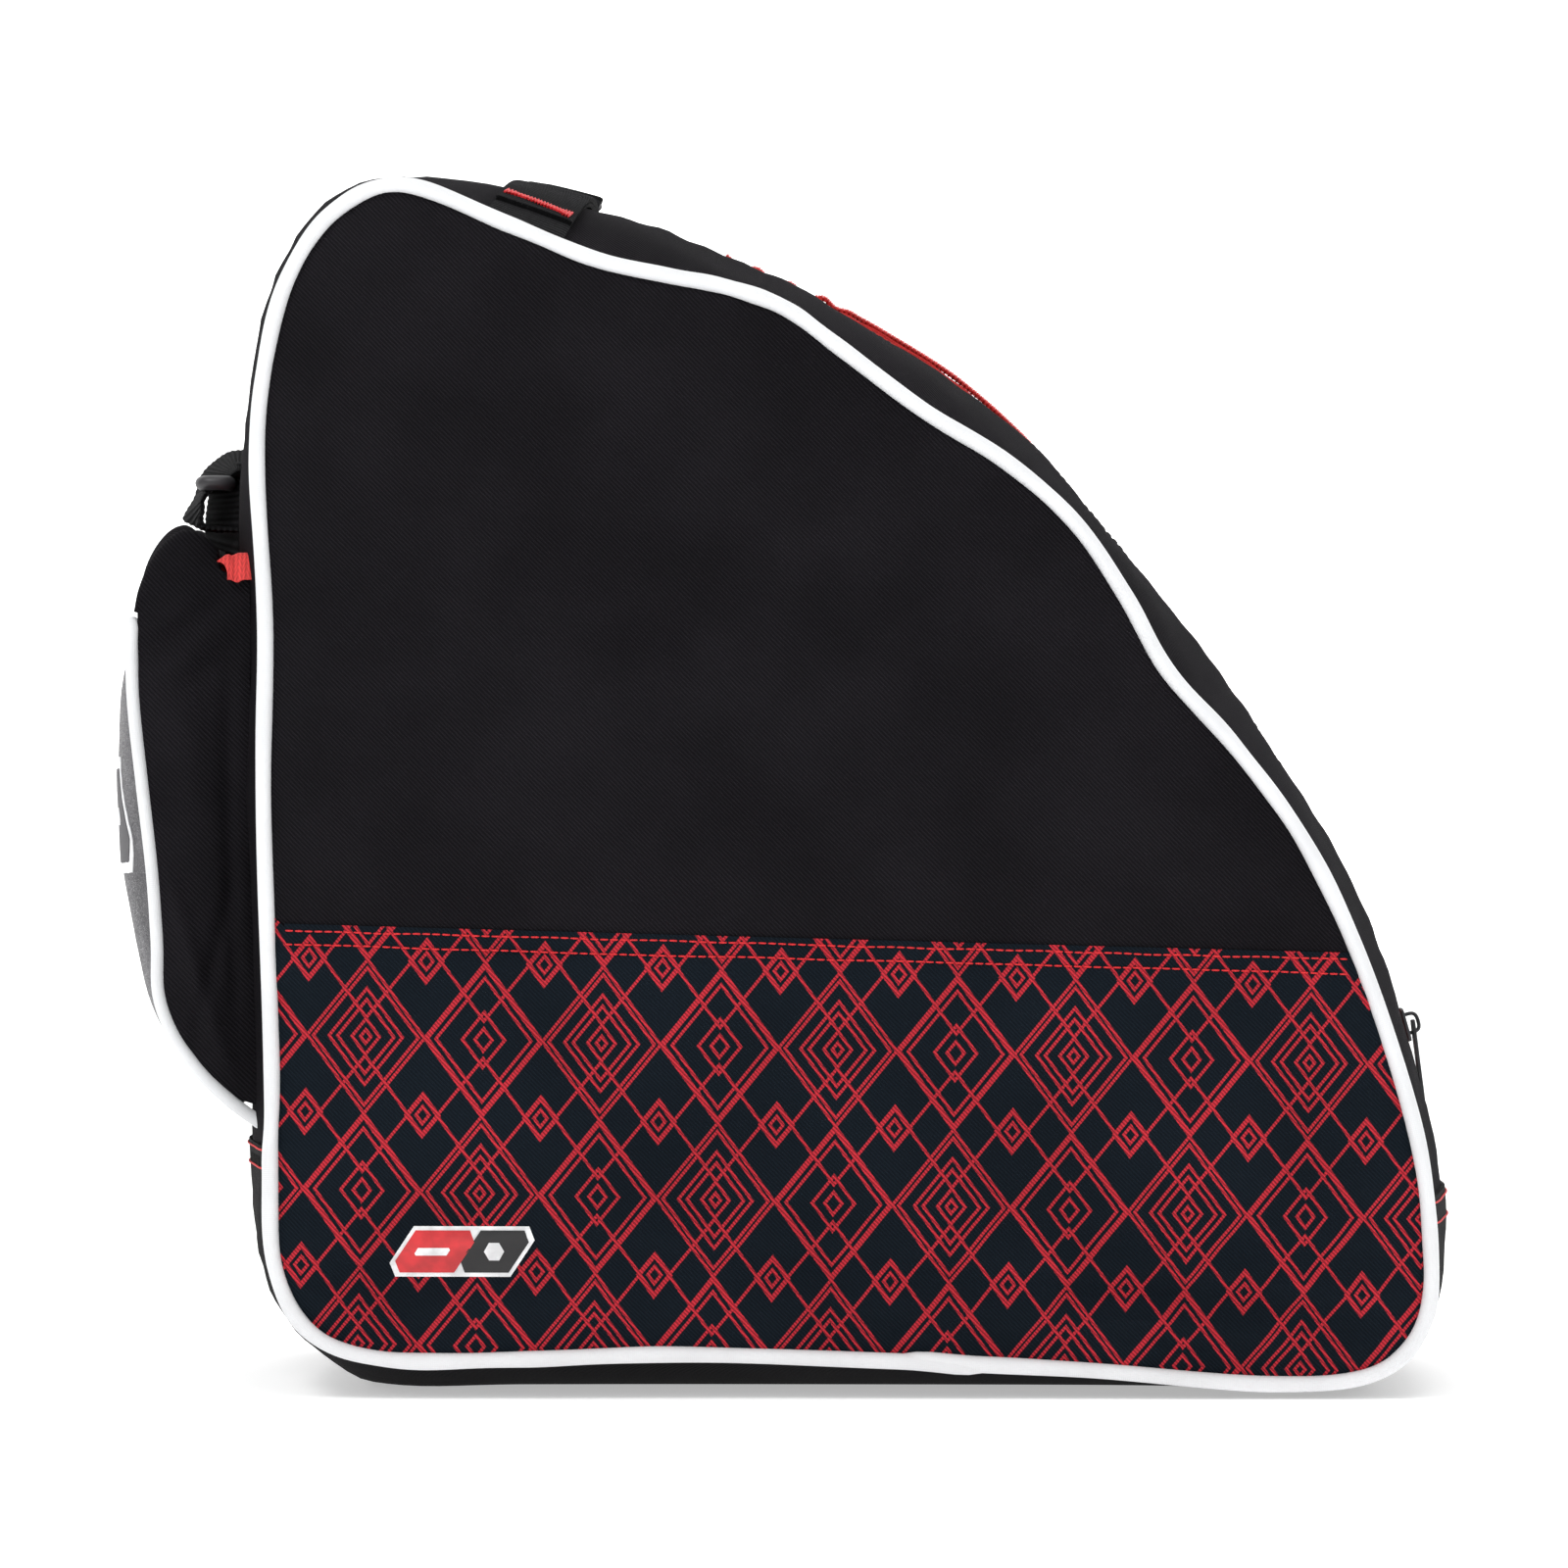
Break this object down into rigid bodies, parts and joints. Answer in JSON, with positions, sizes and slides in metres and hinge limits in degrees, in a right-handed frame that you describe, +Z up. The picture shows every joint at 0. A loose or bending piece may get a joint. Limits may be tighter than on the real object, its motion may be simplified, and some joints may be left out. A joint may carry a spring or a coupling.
{
  "type": "skate bag",
  "caption": "Padded wedge-shaped shoulder bag for ice skates, with a zipped sloping top, piped seams, a zipped front pocket, a D-ring band on top and a webbing loop in front.",
  "frame": {"origin": "The middle of the flat base between the two sides, on the ground that the bag stands on.", "axes": "+X runs along the bag from the front pocket to the heel, the low end of the slope. +Y runs across the bag, from the side that is seen to the far side. +Z is up."},
  "size_m": [0.4214, 0.2252, 0.3821],
  "materials": {
    "black_fabric": "fine twill-woven black polyester",
    "base_fabric": "coated black polyester for the base",
    "printed_fabric": "navy-black polyester printed with fine red geometric lines",
    "foam": "closed-cell foam padding",
    "lining": "thin plain-woven lining",
    "white_piping": "smooth white vinyl piping",
    "grey_face": "grey glitter-coated fabric",
    "red_zip": "red zip tape and nylon coil",
    "webbing": "black ribbed webbing",
    "ring_plastic": "dark moulded plastic",
    "base_board": "stiff plastic board",
    "zip_metal": "dark painted zinc alloy"
  },
  "bodies": {
    "body": {"upper_panel_near": "black_fabric", "upper_panel_far": "black_fabric", "lower_panel_near": "printed_fabric", "lower_panel_far": "printed_fabric", "foam_near": "foam", "foam_far": "foam", "side_lining_near": "lining", "side_lining_far": "lining", "piping_near": "white_piping", "piping_far": "white_piping", "gusset_front": "black_fabric", "gusset_heel": "black_fabric", "base_panel": "base_fabric", "lining_front": "lining", "lining_base": "lining", "base_board": "base_board", "zip_stop_top": "zip_metal", "zip_stop_bottom": "zip_metal", "top_band": "webbing", "top_loop": "webbing", "front_loop_outer": "webbing", "front_loop_inner": "webbing", "pocket_face": "grey_face", "pocket_piping": "white_piping", "pocket_wall_near": "black_fabric", "pocket_wall_far": "black_fabric", "pocket_tape_back": "red_zip", "pocket_coil_back": "red_zip"},
    "flap_near": {"zip_flap_near": "black_fabric", "zip_tape_near": "red_zip", "zip_coil_near": "red_zip"},
    "flap_far": {"zip_flap_far": "black_fabric", "zip_tape_far": "red_zip", "zip_coil_far": "red_zip"},
    "zip_slider": {"zip_slider": "zip_metal"},
    "zip_puller": {"zip_puller": "zip_metal"},
    "top_ring": {"top_ring": "ring_plastic"},
    "front_ring": {"front_ring": "ring_plastic"},
    "pocket_lip": {"pocket_lip": "black_fabric", "pocket_tape_front": "red_zip", "pocket_coil_front": "red_zip"},
    "pocket_slider": {"pocket_slider": "zip_metal"},
    "pocket_puller": {"pocket_puller": "zip_metal"}
  },
  "joints": [
    {"name": "flap_near_open", "type": "hinge", "parent": "body", "child": "flap_near", "pos_m": [-0.01037, -0.10185, 0.35816], "axis": [0.6583, 0, -0.7527], "range_deg": [0, 50], "deforming": ["zip_tape_near", "zip_coil_near"]},
    {"name": "flap_far_open", "type": "hinge", "parent": "body", "child": "flap_far", "pos_m": [-0.01037, 0.10185, 0.35816], "axis": [-0.6583, 0, 0.7527], "range_deg": [0, 50], "deforming": ["zip_tape_far", "zip_coil_far"]},
    {"name": "zip_slider_travel", "type": "hinge", "parent": "body", "child": "zip_slider", "pos_m": [-0.22862, 0, -0.03211], "axis": [0, -1, 0], "range_deg": [0, 43.6]},
    {"name": "zip_puller_swing", "type": "hinge", "parent": "zip_slider", "child": "zip_puller", "pos_m": [0.1819, 0, 0.11299], "axis": [0, -1, 0], "range_deg": [0, 150]},
    {"name": "pocket_lip_open", "type": "hinge", "parent": "body", "child": "pocket_lip", "pos_m": [-0.2262, 0, 0.2392], "axis": [0, -1, 0], "range_deg": [0, 60], "deforming": ["pocket_tape_front", "pocket_coil_front"]},
    {"name": "pocket_slider_slide", "type": "slide", "parent": "body", "child": "pocket_slider", "axis": [0, -1, 0], "range_m": [0, 0.115]},
    {"name": "pocket_puller_swing", "type": "hinge", "parent": "pocket_slider", "child": "pocket_puller", "pos_m": [-0.1962, 0.06, 0.2608], "axis": [-1, 0, 0], "range_deg": [0, 150]},
    {"name": "top_ring_flip", "type": "hinge", "parent": "body", "child": "top_ring", "pos_m": [-0.09067, 0.024, 0.37598], "axis": [0.9728, 0, -0.2316], "range_deg": [0, 150]},
    {"name": "front_ring_tilt", "type": "hinge", "parent": "body", "child": "front_ring", "pos_m": [-0.2032, 0, 0.282], "axis": [0, 1, 0], "range_deg": [-25, 25]}
  ],
  "couplings": [
    {"joint": "flap_far_open", "follows": "flap_near_open", "ratio": 1},
    {"joint": "zip_slider_travel", "follows": "flap_near_open", "ratio": 0.871},
    {"joint": "pocket_slider_slide", "follows": "pocket_lip_open", "m_per_rad": 0.1098}
  ]
}
